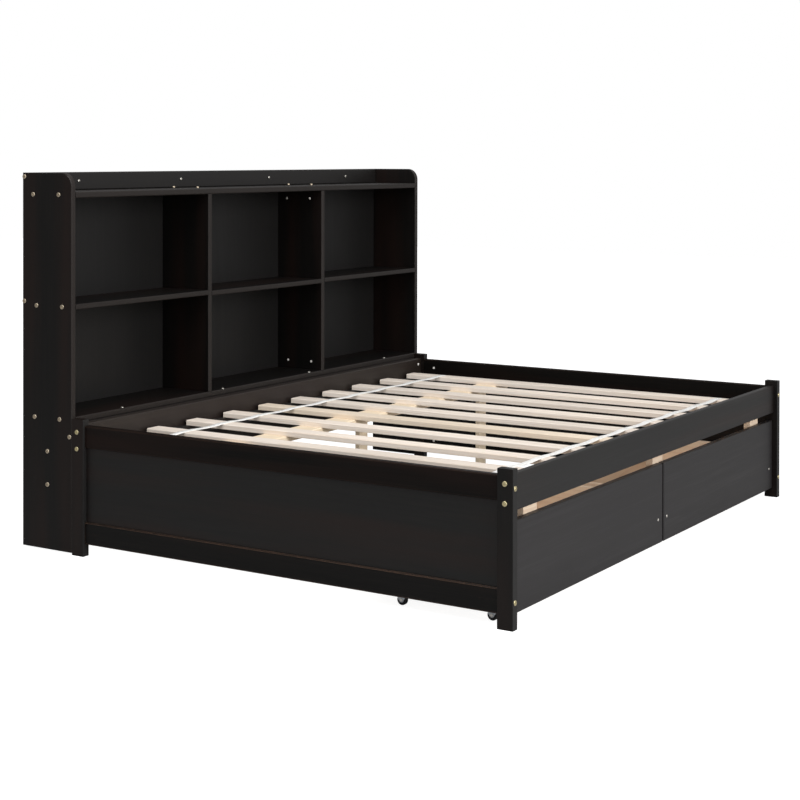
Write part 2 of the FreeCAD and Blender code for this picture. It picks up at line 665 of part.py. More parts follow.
def make_drawer(side, left, right):
    """One drawer: front board, box and four casters, closed."""
    front_y = (FRONT + DRAWER_FRONT_SETBACK, FRONT + DRAWER_FRONT_SETBACK + DRAWER_FRONT_THICKNESS)
    front = box((left, right), front_y, DRAWER_FRONT_Z)
    rim = [e for e in front.Edges if e.CenterOfMass.y < front_y[0] + 1]
    save("drawer_" + side + "_front", front.makeChamfer(EDGE_RADIUS, rim))
    floor_top = BOX_BOTTOM_Z + BOX_FLOOR_THICKNESS
    box_y = (front_y[1], front_y[1] + BOX_DEPTH)
    outer = (left + BOX_INSET, right - BOX_INSET)
    inner = (outer[0] + BOX_WALL, outer[1] - BOX_WALL)
    wall_z = (floor_top, BOX_TOP_Z)
    save("drawer_" + side + "_wall_left", board((outer[0], inner[0]), box_y, wall_z, "y", BOX_EDGE, True))
    save("drawer_" + side + "_wall_right", board((inner[1], outer[1]), box_y, wall_z, "y", BOX_EDGE, True))
    back_y = (box_y[1] - BOX_WALL, box_y[1])
    save("drawer_" + side + "_back", board(inner, back_y, wall_z, "x", BOX_EDGE, True))
    save("drawer_" + side + "_floor", box(outer, box_y, (BOX_BOTTOM_Z, floor_top)))
    forks = []
    axles = []
    columns = {"left": left + WHEEL_FROM_DRAWER_END, "right": right - WHEEL_FROM_DRAWER_END}
    for column, x in columns.items():
        for row, distance in zip(("front", "rear"), WHEELS_FROM_FRONT):
            y = FRONT + distance
            forks.append(fork(x, y))
            axles.append(axle(x, y))
            save("drawer_" + side + "_wheel_" + row + "_" + column, wheel(x, y))
    save("drawer_" + side + "_forks", forks)
    save("drawer_" + side + "_axles", axles)


make_posts()
make_ends()
make_rails()
make_slats()
make_support()
make_blocks()
make_case_sides()
make_case_shelves()
make_case_rails()
make_fasteners()
DRAWER_OUTER = RAIL_HALF - DRAWER_END_GAP
make_drawer("left", -DRAWER_OUTER, -DRAWER_GAP / 2)
make_drawer("right", DRAWER_GAP / 2, DRAWER_OUTER)
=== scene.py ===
"""Looks of the bookcase bed: stained and plain pine, webbing, metal and the studio."""

import json
import math
from dataclasses import dataclass

import bmesh
import bpy
from mathutils import Matrix, Vector


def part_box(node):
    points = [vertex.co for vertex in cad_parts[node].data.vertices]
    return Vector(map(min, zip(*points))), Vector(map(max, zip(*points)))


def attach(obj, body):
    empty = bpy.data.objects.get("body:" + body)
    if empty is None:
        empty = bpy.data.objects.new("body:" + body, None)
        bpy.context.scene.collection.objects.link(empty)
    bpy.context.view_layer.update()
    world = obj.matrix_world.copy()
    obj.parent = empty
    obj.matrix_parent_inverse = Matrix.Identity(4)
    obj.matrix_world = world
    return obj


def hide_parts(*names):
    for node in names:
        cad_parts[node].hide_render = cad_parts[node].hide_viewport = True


MM = 0.001
WHITE = (1.0, 1.0, 1.0, 1.0)

# Camera, from lines and fasteners measured in the photograph
CAMERA_AT = Vector((-4.6768, -2.7129, 1.1629))
CAMERA_YAW = math.radians(33.307)
CAMERA_PITCH = math.radians(-0.434)
CAMERA_ROLL = math.radians(0.076)
CAMERA_REACH = 100.0
PICTURE_SIDE = 800
FOCAL_PIXELS = 1691.2
CENTRE_PIXEL = (334.2, 168.6)
SENSOR = 36.0

# Soft boxes: place, what they point at, size and power in watts
FRONT_SOFTBOX = ((-2.4, -8.0, 2.8), (-0.2, 0.0, 0.5), (4.5, 4.0), 420)
TOP_SOFTBOX = ((-2.4, -0.8, 3.9), (-0.1, 0.0, 0.3), (3.5, 3.5), 132)

# The studio's fill: where it is brightest, and its strength behind and before the bed
FILL_FROM = (0.45, -0.85, 0.28)
FILL_BEHIND = 0.30
FILL_BEFORE = 0.62

# The floor's grey, the glow that only the camera sees, and half the floor's side
FLOOR_GREY = (0.5, 0.5, 0.5, 1.0)
FLOOR_GLOW = 0.92
FLOOR_HALF = 14.0

# Slats: their pitch gives each a number, and its number sets its tone. One is warmer.
SLAT_PITCH = 192 * MM
SLAT_COUNT = 10
SLAT_TONES = (0.92, 1.05)
WARM_SLAT = 4
WARM_TONE = (0.90, 0.74, 0.54)
WARM_SHARE = 0.5

# Wood grain: which axes lie along and across it, and how fast each layer of it changes
# along the board and across it, per metre
GRAIN_ORDER = {"x": (0, 1, 2), "y": (1, 0, 2), "z": (2, 0, 1)}
FIBRE_RATE = (6.0, 420.0, 420.0)
STREAK_RATE = (1.1, 46.0, 46.0)
BROAD_RATE = (1.6, 7.0, 7.0)
RUDDY_RATE = (0.8, 11.0, 11.0)
WANDER_RATE = (1.3, 5.0, 5.0)

# Growth rings: how far they wander sideways, and how drawn out they are along the board.
# Each board's chance value, by a factor and an offset, shifts its grain along and across.
RING_WANDER = (0.0, 0.03, 0.03)
RING_STRETCH = (0.04, 1.0, 1.0)
BOARD_SHIFT = ((9.7, 0.0), (0.19, 0.035), (-0.13, 0.06))

# A face turned this far towards -Y gets the painted sheen of the -Y faces
SHEEN_FACING = 0.35

# Width of the rounded edges, for the shading normal and for the painted highlight with wear along
# them
EDGE_ROUNDING = 2.2 * MM

# The wave texture turns this many radians per metre at a scale of 1
WAVE_TURN = 20.0

# Fine noise on webbing, metal and plastic: its scale, and how scratches are drawn out
FUZZ_SCALE = 900.0
CLOUD_SCALE = 260.0
SCRATCH_SCALE = 900.0
SCRATCH_RATE = (1.0, 6.0, 9.0)
MOULD_SCALE = 1500.0
DUST_SCALE = 60.0

# Bolts: how high a domed head may be, and how much wider than its shank a head is
HEAD_CROWN = 2.5 * MM
HEAD_OVER_SHANK = 1.3
BOLT_SIDES = 24

# How far level barrel nuts stand out of their boards and upright ones lie under the
# surface, how deep the dips in their ends are and how wide their eased rim is
NUT_PROUD = 0.6 * MM
NUT_SUNK = 0.2 * MM
NUT_DIP = 0.5 * MM
NUT_EASE = 0.5 * MM
NUT_SIDES = 20

# Screws in the drawer fronts, and the sides of every screw's head
DRAWER_SCREW_Z = 101.5 * MM
DRAWER_SCREW_SHIFT = -6 * MM
DRAWER_SCREW_RADIUS = 4.2 * MM
DRAWER_SCREW_PROUD = 1.0 * MM
DRAWER_SCREW_LENGTH = 30 * MM
SCREW_SIDES = 24

# Webbing: its dip between slats, its slow and quick sway, and its rib and weft widths
WEBBING_SAG = 2.5 * MM
WEBBING_STEP = 6 * MM
SLOW_SWAY = 1.2 * MM
QUICK_SWAY = 0.6 * MM
RIB_WIDTH = 1.7 * MM
WEFT_WIDTH = 1.1 * MM

# Staples: their size, and where they are across a slat
STAPLE_WIDTH = 11 * MM
STAPLE_WIRE = 0.7 * MM
STAPLE_PLACES = (0.36, 0.72)

# Casters' wheels: the radius of the bore, and the sides
WHEEL_BORE = 2.55 * MM
WHEEL_SIDES = 64

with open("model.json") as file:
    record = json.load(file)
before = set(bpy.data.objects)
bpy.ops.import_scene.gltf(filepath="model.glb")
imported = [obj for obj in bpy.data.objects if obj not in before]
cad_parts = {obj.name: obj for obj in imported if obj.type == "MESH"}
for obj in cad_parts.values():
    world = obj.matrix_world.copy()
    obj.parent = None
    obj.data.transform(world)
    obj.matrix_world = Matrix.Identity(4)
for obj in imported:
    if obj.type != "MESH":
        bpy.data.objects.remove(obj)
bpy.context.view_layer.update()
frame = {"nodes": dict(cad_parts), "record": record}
NODES = frame["nodes"]


class Tree:
    """A short way to write the nodes of a material or of the world."""

    def __init__(self, owner):
        owner.use_nodes = True
        self.nodes = owner.node_tree.nodes
        self.links = owner.node_tree.links

    def add(self, kind, inputs=None, **settings):
        """A node with some settings, and values or links for its inputs."""
        node = self.nodes.new(kind)
        for key, value in settings.items():
            setattr(node, key, value)
        for key, value in (inputs or {}).items():
            self.put(node.inputs[key], value)
        return node

    def put(self, socket, value):
        """Link a socket, or set its value."""
        if isinstance(value, bpy.types.NodeSocket):
            self.links.new(value, socket)
        else:
            socket.default_value = value

    def math(self, operation, first, second=0.0, third=0.0):
        """The result of an operation on one to three values."""
        node = self.add("ShaderNodeMath", {0: first, 1: second, 2: third}, operation=operation)
        return node.outputs[0]

    def vector(self, operation, first, second):
        """The vector that comes of an operation on two vectors."""
        node = self.add("ShaderNodeVectorMath", {0: first, 1: second}, operation=operation)
        return node.outputs[0]

    def dot(self, first, second):
        """The dot product of two vectors."""
        node = self.add("ShaderNodeVectorMath", {0: first, 1: second}, operation="DOT_PRODUCT")
        return node.outputs["Value"]

    def noise(self, vector, scale, detail=2.0, roughness=0.5):
        """Smooth noise from 0 to 1."""
        inputs = {"Vector": vector, "Scale": scale, "Detail": detail, "Roughness": roughness}
        return self.add("ShaderNodeTexNoise", inputs).outputs[0]

    def stretched(self, place, rate, detail=2.0, roughness=0.5):
        """Smooth noise that changes at its own rate along each axis."""
        return self.noise(self.vector("MULTIPLY", place, rate), 1.0, detail, roughness)

    def wave(self, place, width, inputs, **settings):
        """A wave texture whose stripes or rings are a width apart."""
        inputs = {"Vector": place, "Scale": 2 * math.pi / (WAVE_TURN * width), **inputs}
        return self.add("ShaderNodeTexWave", inputs, **settings).outputs["Color"]

    def ramp(self, value, stops):
        """Colours by value: stops are (place, colour)."""
        node = self.add("ShaderNodeValToRGB", {0: value})
        for element, (place, colour) in zip(node.color_ramp.elements, stops):
            element.position = place
            element.color = (*colour, 1.0)
        return node.outputs[0]

    def mix(self, amount, first, second, blend="MIX"):
        """Two colours mixed."""
        node = self.add("ShaderNodeMix", data_type="RGBA", blend_type=blend)
        self.put(node.inputs[0], amount)
        for socket, colour in ((node.inputs[6], first), (node.inputs[7], second)):
            linked = isinstance(colour, bpy.types.NodeSocket)
            self.put(socket, colour if linked else (*colour, 1.0))
        return node.outputs[2]

    def spread(self, value, low, high, start=0.0, end=1.0):
        """A value between start and end moved to the range from low to high."""
        inputs = {0: value, 1: start, 2: end, 3: low, 4: high}
        return self.add("ShaderNodeMapRange", inputs).outputs[0]

    def bump(self, height, distance, strength, normal=None):
        """A bump normal, with its depth in metres."""
        inputs = {"Height": height, "Distance": distance, "Strength": strength}
        if normal is not None:
            inputs["Normal"] = normal
        return self.add("ShaderNodeBump", inputs).outputs[0]

    def place(self):
        """Where a point is, in the object's own metres."""
        return self.add("ShaderNodeTexCoord").outputs["Object"]


class Finish(Tree):
    """The nodes of a new material."""

    def __init__(self, name):
        self.material = bpy.data.materials.new(name)
        super().__init__(self.material)
        self.shader = self.nodes["Principled BSDF"]
        self.output = self.nodes["Material Output"]

    def set(self, **values):
        """Values or links for the shader's sockets, by name with spaces as underscores."""
        for key, value in values.items():
            self.put(self.shader.inputs[key.replace("_", " ")], value)


@dataclass
class Pine:
    """The look of one kind of board."""

    early: tuple           # pale part of a growth ring
    late: tuple            # dark part of a growth ring
    fleck: tuple           # fine fibres
    ring_width: float
    contrast: float
    roughness: float
    relief: float          # depth of the grain
    specular: float
    ruddy: tuple = None    # colour of some broad streaks
    worn: tuple = None     # painted highlight with some wear along the rounded edges
    front: tuple = None    # painted sheen: a lighter colour on the faces that face -Y


PALE = Pine(
    early=(0.89, 0.82, 0.75), late=(0.73, 0.61, 0.50), fleck=(0.77, 0.65, 0.54),
    ring_width=6.5 * MM, contrast=0.75, roughness=0.62, relief=0.10 * MM, specular=0.3,
)
WARM = Pine(
    early=(0.84, 0.69, 0.53), late=(0.72, 0.52, 0.37), fleck=(0.78, 0.58, 0.42),
    ring_width=6.5 * MM, contrast=0.75, roughness=0.62, relief=0.10 * MM, specular=0.3,
)
PLANK = Pine(
    early=(0.90, 0.78, 0.60), late=(0.80, 0.63, 0.44), fleck=(0.84, 0.68, 0.49),
    ring_width=8.0 * MM, contrast=0.8, roughness=0.6, relief=0.12 * MM, specular=0.3,
)
RUDDY = (0.0100, 0.0047, 0.0034)


def stain(early, late, specular, ruddy=RUDDY, worn=None, front=None):
    """Dark stained and lacquered pine."""
    return Pine(
        early=early, late=late, fleck=(0.014, 0.0105, 0.0085),
        ring_width=5.5 * MM, contrast=0.8, roughness=0.40, relief=0.07 * MM,
        specular=specular, ruddy=ruddy, worn=worn, front=front,
    )


STAINS = {
    "frame": stain((0.0040, 0.0037, 0.0035), (0.0024, 0.0022, 0.0021), 0.38),
    # posts: painted sheen, a much lighter colour on their faces towards -Y
    "post": stain((0.0023, 0.0021, 0.0019), (0.0014, 0.0013, 0.0012), 0.22,
                  front=(0.0140, 0.0136, 0.0133)),
    "panel": stain((0.0040, 0.0040, 0.0040), (0.0026, 0.0025, 0.0025), 0.29),
    # top rails of the ends: painted highlight with some wear along their rounded edges
    "top": stain((0.0014, 0.0012, 0.0011), (0.0009, 0.0008, 0.0007), 0.11,
                 worn=(0.060, 0.034, 0.022)),
    # bottom rails of the ends: painted highlight with some wear along their rounded edges
    "bottom": stain((0.0022, 0.0020, 0.0019), (0.0014, 0.0012, 0.0011), 0.16,
                    worn=(0.240, 0.135, 0.085)),
    # case: a lighter colour on its faces towards -Y, partly the edge grain's own tone and partly
    # painted sheen
    "case": stain((0.0021, 0.0018, 0.0017), (0.0014, 0.0012, 0.0011), 0.21,
                  front=(0.0185, 0.0150, 0.0134)),
    "back": stain((0.0088, 0.0086, 0.0086), (0.0064, 0.0061, 0.0061), 0.26, ruddy=None),
    # drawer fronts: a lighter colour as painted sheen on their faces towards -Y
    "drawer": stain((0.0145, 0.0128, 0.0138), (0.0105, 0.0092, 0.0100), 0.40, ruddy=None),
    # rear rail: a lighter, redder colour as painted bounce light from the slats
    "rear": stain((0.0200, 0.0130, 0.0092), (0.0120, 0.0078, 0.0055), 0.45),
    # lip: a lighter colour as painted sheen on its face towards -Y
    "lip": stain((0.0070, 0.0060, 0.0056), (0.0047, 0.0040, 0.0038), 0.40),
}


def slat_number(tree, along):
    """The number of the slat that a point is on, from the left end."""
    count = tree.math("DIVIDE", along, SLAT_PITCH)
    return tree.math("FLOOR", tree.math("ADD", count, SLAT_COUNT / 2))


def grain_place(tree, place, axis, chance):
    """Coordinates with the grain along X, moved by chance so that no two boards match."""
    split = tree.add("ShaderNodeSeparateXYZ", {0: place}).outputs
    order = GRAIN_ORDER[axis]
    along = tree.add("ShaderNodeCombineXYZ", {k: split[order[k]] for k in range(3)}).outputs[0]
    moves = {}
    for k, (factor, offset) in enumerate(BOARD_SHIFT):
        moves[k] = tree.math("MULTIPLY_ADD", chance, factor, offset)
    return tree.vector("ADD", along, tree.add("ShaderNodeCombineXYZ", moves).outputs[0])


def growth_rings(tree, place, ring_width):
    """Rings round a pith beside the board, from 0 to 1 across each."""
    drift = tree.vector("MULTIPLY", place, WANDER_RATE)
    wander = tree.add("ShaderNodeTexNoise", {"Vector": drift, "Scale": 1.0, "Detail": 2.0})
    wander = tree.vector("SUBTRACT", wander.outputs["Color"], (0.5, 0.5, 0.5))
    wander = tree.vector("MULTIPLY", wander, RING_WANDER)
    bent = tree.vector("MULTIPLY", tree.vector("ADD", place, wander), RING_STRETCH)
    inputs = {"Distortion": 1.6, "Detail": 2.0, "Detail Scale": 0.8}
    return tree.wave(bent, ring_width, inputs, wave_type="RINGS", rings_direction="X",
                     wave_profile="SAW")


def grain_colour(tree, pine, place, rings, fibre, streak):
    """The board's colour from its rings, fibres and streaks."""
    ring_tone = tree.math("MULTIPLY", tree.math("POWER", rings, 2.2), pine.contrast)
    colour = tree.mix(ring_tone, pine.early, pine.late)
    colour = tree.mix(tree.spread(streak, -0.25, 0.75), colour, pine.late)
    flecks = tree.math("MULTIPLY", tree.math("POWER", fibre, 3.0), 0.9)
    colour = tree.mix(flecks, colour, pine.fleck)
    if pine.ruddy:
        patch = tree.spread(tree.stretched(place, RUDDY_RATE), 0.0, 0.75, 0.47, 0.66)
        colour = tree.mix(patch, colour, pine.ruddy)
    return colour


def shaded(tree, colour, shade):
    """A colour made lighter or darker by a value."""
    grey = tree.add("ShaderNodeCombineColor", {0: shade, 1: shade, 2: shade}).outputs[0]
    return tree.mix(1.0, colour, grey, "MULTIPLY")


def painted_front_sheen(tree, colour, front, flat, streak):
    """Painted sheen: a lighter colour on the faces that look towards -Y."""
    toward = tree.math("MULTIPLY", tree.add("ShaderNodeSeparateXYZ", {0: flat}).outputs[1], -1.0)
    sheen_mask = tree.math("GREATER_THAN", toward, SHEEN_FACING)
    return tree.mix(tree.math("MULTIPLY", sheen_mask, tree.spread(streak, 0.6, 1.0)), colour, front)


def edge_highlight_and_wear_colour(tree, colour, worn, flat, rounded, streak):
    """A lighter colour along rounded edges: painted highlight where they catch the light, with some
    wear.
    """
    turn = tree.math("SUBTRACT", 1.0, tree.dot(rounded, flat))
    edge_light = tree.math("MULTIPLY", turn, tree.spread(streak, 1.0, 9.0))
    return tree.mix(tree.add("ShaderNodeClamp", {0: edge_light}).outputs[0], colour, worn)


def wood(name, pine, axis, by_slat=False):
    """Pine with its grain along an axis. by_slat gives each slat its own grain and tone."""
    tree = Finish(name)
    place = tree.place()
    if by_slat:
        number = slat_number(tree, tree.add("ShaderNodeSeparateXYZ", {0: place}).outputs[0])
        chance = tree.add("ShaderNodeTexWhiteNoise", {"W": number}, noise_dimensions="1D").outputs[0]
    else:
        chance = tree.add("ShaderNodeObjectInfo").outputs["Random"]
    place = grain_place(tree, place, axis, chance)
    rings = growth_rings(tree, place, pine.ring_width)
    fibre = tree.stretched(place, FIBRE_RATE, 3.0, 0.6)
    streak = tree.stretched(place, STREAK_RATE, 3.0, 0.55)
    colour = grain_colour(tree, pine, place, rings, fibre, streak)
    shade = tree.spread(tree.stretched(place, BROAD_RATE), 0.78, 1.2)
    if by_slat:
        is_warm = tree.math("COMPARE", number, WARM_SLAT, 0.5)
        colour = tree.mix(tree.math("MULTIPLY", is_warm, WARM_SHARE), colour, WARM_TONE)
        shade = tree.math("MULTIPLY", shade, tree.spread(chance, *SLAT_TONES))
    colour = shaded(tree, colour, shade)
    rounded = tree.add("ShaderNodeBevel", {"Radius": EDGE_ROUNDING}, samples=4).outputs[0]
    flat = tree.add("ShaderNodeNewGeometry").outputs["True Normal"]
    # Painted sheen on the faces towards -Y
    if pine.front:
        colour = painted_front_sheen(tree, colour, pine.front, flat, streak)
    # Painted highlight with some wear along the rounded edges
    if pine.worn:
        colour = edge_highlight_and_wear_colour(tree, colour, pine.worn, flat, rounded, streak)
    height = tree.math("ADD", tree.math("MULTIPLY", fibre, 0.6), tree.math("MULTIPLY", rings, 0.4))
    rough = tree.math("ADD", fibre, streak)
    tree.set(
        Base_Color=colour,
        Roughness=tree.spread(rough, pine.roughness - 0.09, pine.roughness + 0.09),
        Normal=tree.bump(height, pine.relief, 0.7, rounded),
        Specular_IOR_Level=pine.specular,
    )
    return tree.material


def webbing_material():
    """White woven webbing: warp ribs along it, crossed by the weft."""
    tree = Finish("white_webbing")
    place = tree.place()
    warp = tree.wave(place, RIB_WIDTH, {"Distortion": 0.4, "Detail": 1.0},
                     wave_type="BANDS", bands_direction="Y")
    weft = tree.wave(place, WEFT_WIDTH, {"Distortion": 0.6, "Detail": 1.0},
                     wave_type="BANDS", bands_direction="X")
    weave = tree.math("MULTIPLY_ADD", weft, 0.4, tree.math("MULTIPLY", warp, 0.6))
    fuzz = tree.noise(place, FUZZ_SCALE, 3.0)
    colour = tree.ramp(weave, [(0.0, (0.84, 0.83, 0.80)), (0.7, (0.96, 0.95, 0.92))])
    tree.set(
        Base_Color=tree.mix(tree.math("MULTIPLY", fuzz, 0.12), colour, (0.7, 0.69, 0.67)),
        Roughness=tree.spread(fuzz, 0.6, 0.85),
        Normal=tree.bump(weave, 0.25 * MM, 0.8),
        Sheen_Weight=0.25,
    )
    return tree.material


def metal(name, colour, dull, roughness, stained, metallic=1.0):
    """Plated metal with fine scratches, and cloudy patches of a dull colour."""
    tree = Finish(name)
    place = tree.place()
    cloud = tree.noise(place, CLOUD_SCALE, 4.0, 0.6)
    scratch = tree.noise(tree.vector("MULTIPLY", place, SCRATCH_RATE), SCRATCH_SCALE)
    patch = tree.math("MULTIPLY", tree.math("POWER", cloud, 2.0), stained)
    rough = tree.math("MULTIPLY_ADD", scratch, 0.5, tree.math("MULTIPLY", cloud, 0.5))
    tree.set(
        Base_Color=tree.mix(patch, colour, dull),
        Metallic=metallic,
        Roughness=tree.spread(rough, roughness - 0.08, roughness + 0.16),
        Normal=tree.bump(scratch, 0.02 * MM, 0.5),
    )
    return tree.material


def plastic_material():
    """Black moulded plastic with a fine grain and rubbed dust."""
    tree = Finish("black_plastic")
    place = tree.place()
    grain = tree.noise(place, MOULD_SCALE)
    dust = tree.noise(place, DUST_SCALE, 4.0, 0.65)
    dusty = tree.math("MULTIPLY", tree.math("POWER", dust, 3.0), 0.5)
    tree.set(
        Base_Color=tree.mix(dusty, (0.012, 0.012, 0.012), (0.06, 0.058, 0.055)),
        Roughness=tree.spread(dust, 0.36, 0.6),
        Normal=tree.bump(grain, 0.03 * MM, 0.6),
    )
    return tree.material


def dress(node, material):
    """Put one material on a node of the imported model."""
    slots = NODES[node].data.materials
    slots.clear()
    slots.append(material)


def long_axis(node):
    """The axis along which a node's box is longest."""
    low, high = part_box(node)
    size = high - low
    return "xyz"[max(range(3), key=lambda k: size[k])]


def record_slots():
    """The record's material slot of each node."""
    return {part["node"]: part["material_slot"] for part in frame["record"]["subparts"]}


def stain_of(node):
    """The name of the stain on a dark board."""
    if node == "case_back":
        return "back"
    if node == "rear_rail":
        return "rear"
    if node == "case_lip":
        return "lip"
    if node.startswith("drawer"):
        return "drawer"
    if "_end_" in node:
        return node.split("_")[2]
    if node.startswith("post"):
        return "post"
    if node.startswith("case"):
        return "case"
    return "frame"


def grain_of(node):
    """The axis along which a board's grain runs."""
    if node in ("support_legs", "case_back"):
        return "z"
    if node == "front_blocks":
        return "x"
    if node == "slats":
        return "y"
    return long_axis(node)


def pine_of(node, slot):
    """The name and look of a node's pine, or None if it isn't wood."""
    if slot == "stained_wood":
        name = stain_of(node)
        return "stained_pine_" + name, STAINS[name]
    if slot == "plank_wood" or node == "support_legs":
        return "plank_pine", PLANK
    if slot == "pale_wood" and node.startswith(("front", "drawer")):
        return "warm_pine", WARM
    if slot == "pale_wood":
        return "pale_pine", PALE
    return None


def dress_wood():
    """Give every wooden node its pine, with the grain along the board."""
    made = {}
    for node, slot in record_slots().items():
        found = pine_of(node, slot)
        if found is None:
            continue
        name, pine = found
        axis = grain_of(node)
        by_slat = node == "slats"
        name += "_" + axis + ("_slats" if by_slat else "")
        if name not in made:
            made[name] = wood(name, pine, axis, by_slat)
        dress(node, made[name])


def islands(node):
    """The corner points of each separate solid of a node."""
    mesh = bmesh.new()
    mesh.from_mesh(NODES[node].data)
    bmesh.ops.remove_doubles(mesh, verts=mesh.verts, dist=1e-6)
    seen = set()
    groups = []
    for start in mesh.verts:
        if start in seen:
            continue
        seen.add(start)
        heap = [start]
        group = []
        while heap:
            vert = heap.pop()
            group.append(vert.co.copy())
            for edge in vert.link_edges:
                other = edge.other_vert(vert)
                if other not in seen:
                    seen.add(other)
                    heap.append(other)
        groups.append(group)
    mesh.free()
    return groups


def box_of(points):
    """The lowest and highest corners of some points."""
    low = Vector([min(p[k] for p in points) for k in range(3)])
    high = Vector([max(p[k] for p in points) for k in range(3)])
    return low, high


def circle(radius, along, sides):
    """Points round the Z axis."""
    turns = [2 * math.pi * index / sides for index in range(sides)]
    return [Vector((radius * math.cos(turn), radius * math.sin(turn), along)) for turn in turns]


def turned(mesh, profile, sides, matrix):
    """Add a turned form: profile is (distance along the axis, radius) from end to end."""
    rings = []
    for along, radius in profile:
        points = circle(radius, along, sides) if radius > 0 else [Vector((0, 0, along))]
        rings.append([mesh.verts.new(matrix @ point) for point in points])
    for lower, upper in zip(rings, rings[1:]):
        for index in range(sides):
            after = (index + 1) % sides
            corners = [lower[index % len(lower)], lower[after % len(lower)],
                       upper[after % len(upper)], upper[index % len(upper)]]
            unique = list(dict.fromkeys(corners))
            mesh.faces.new(unique)


def finish_mesh(mesh, name, material, smooth_angle=35.0):
    """Turn mesh code into an object of the scene."""
    bmesh.ops.recalc_face_normals(mesh, faces=mesh.faces)
    data = bpy.data.meshes.new(name)
    mesh.to_mesh(data)
    mesh.free()
    data.materials.append(material)
    for face in data.polygons:
        face.use_smooth = True
    data.set_sharp_from_angle(angle=math.radians(smooth_angle))
    piece = bpy.data.objects.new(name, data)
    bpy.context.scene.collection.objects.link(piece)
    return piece


def pointing(origin, direction):
    """A matrix whose Z axis starts at origin and points along direction."""
    turn = Vector((0, 0, 1)).rotation_difference(Vector(direction).normalized())
    return Matrix.Translation(origin) @ turn.to_matrix().to_4x4()


class Bolt:
    """A bolt's or screw's place and sizes, read from the corners of its plain solid."""

    def __init__(self, corners):
        low, high = box_of(corners)
        size = high - low
        axis = max(range(3), key=lambda k: size[k])
        middle = (low + high) / 2
        others = [k for k in range(3) if k != axis]

        def reach(point):
            return math.hypot(*[point[k] - middle[k] for k in others])

        self.length = size[axis]
        self.head_radius = max(reach(p) for p in corners)
        self.shank_radius = min(reach(p) for p in corners)
        self.has_head = self.head_radius > HEAD_OVER_SHANK * self.shank_radius
        rim = [p[axis] for p in corners if reach(p) > 0.9 * self.head_radius]
        self.head = max(rim) - min(rim)
        starts_low = min(rim) < low[axis] + MM
        self.top = middle.copy()
        self.top[axis] = low[axis] if starts_low else high[axis]
        self.way = Vector([0, 0, 0])
        self.way[axis] = 1 if starts_low else -1


def bolt_profile(bolt):
    """A low domed head with an eased rim and a socket, then the shank."""
    head, radius, shank, tip = bolt.head, bolt.head_radius, bolt.shank_radius, bolt.length
    deep = 0.75 * head
    crown = min(head, HEAD_CROWN)
    return [
        (deep, 0.0), (deep, 0.30 * radius), (0.10 * crown, 0.33 * radius), (0.0, 0.40 * radius),
        (0.10 * crown, 0.68 * radius), (0.32 * crown, 0.90 * radius), (0.62 * crown, 0.99 * radius),
        (0.95 * head, radius), (head, 0.97 * radius), (head, shank),
        (tip - 0.4 * shank, shank), (tip, 0.6 * shank), (tip, 0.0),
    ]


def stud_profile(bolt):
    """A plain rod."""
    radius = bolt.shank_radius
    return [(0, 0), (0, radius), (bolt.length, radius), (bolt.length, 0)]


def make_bolts(node, name, material):
    """Detailed bolts in the place of a node's plain ones. Those without a head are studs."""
    mesh = bmesh.new()
    for corners in islands(node):
        bolt = Bolt(corners)
        profile = bolt_profile(bolt) if bolt.has_head else stud_profile(bolt)
        turned(mesh, profile, BOLT_SIDES, pointing(bolt.top, bolt.way))
    piece = finish_mesh(mesh, name, material)
    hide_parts(node)
    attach(piece, "bed_frame")


def round_axis(size):
    """The axis of a round bar, along which its other two sides are most alike."""
    gaps = [abs(size[(k + 1) % 3] - size[(k + 2) % 3]) for k in range(3)]
    return min(range(3), key=lambda k: gaps[k])


def nut_profile(length, radius):
    """A barrel with an eased rim and a round dip in both ends."""
    half = [(NUT_DIP, 0.0), (NUT_DIP, radius * 0.28), (0.0, radius * 0.34),
            (0.0, radius - NUT_EASE), (NUT_EASE, radius)]
    return half + [(length - along, reach) for along, reach in reversed(half)]


def make_nuts(node, name, material):
    """Detailed barrel nuts in the place of a node's plain ones."""
    mesh = bmesh.new()
    for corners in islands(node):
        low, high = box_of(corners)
        size = high - low
        axis = round_axis(size)
        proud = -NUT_SUNK if axis == 2 else NUT_PROUD
        start = (low + high) / 2
        start[axis] = low[axis] - proud
        way = Vector([0, 0, 0])
        way[axis] = 1
        profile = nut_profile(size[axis] + 2 * proud, size[(axis + 1) % 3] / 2)
        turned(mesh, profile, NUT_SIDES, pointing(start, way))
    piece = finish_mesh(mesh, name, material)
    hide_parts(node)
    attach(piece, "bed_frame")


def cross_outline(radius):
    """A four-armed outline for a screw's recess, as flat points."""
    quarter = SCREW_SIDES // 4
    points = []
    for index, point in enumerate(circle(radius, 0.0, SCREW_SIDES)):
        in_arm = index % quarter in (0, 1, quarter - 1)
        points.append(point * (0.62 if in_arm else 0.2))
    return points


def screw_head(mesh, matrix, radius, proud, length):
    """A pan head with a cross recess, which stands out of its face, and its shank."""
    mouth = cross_outline(radius)
    floor = [Vector((0.8 * p.x, 0.8 * p.y, 0.7 * proud)) for p in mouth]
    shank = 0.45 * radius
    profile = [
        (0.08 * proud, 0.72 * radius), (0.35 * proud, 0.93 * radius), (0.75 * proud, radius),
        (proud, 0.98 * radius), (proud, shank), (length, shank),
    ]
    outlines = [floor, mouth] + [circle(reach, along, SCREW_SIDES) for along, reach in profile]
    rings = [[mesh.verts.new(matrix @ point) for point in outline] for outline in outlines]
    mesh.faces.new(rings[0])
    for lower, upper in zip(rings, rings[1:]):
        for index in range(SCREW_SIDES):
            after = (index + 1) % SCREW_SIDES
            mesh.faces.new([lower[index], lower[after], upper[after], upper[index]])
    mesh.faces.new(rings[-1])


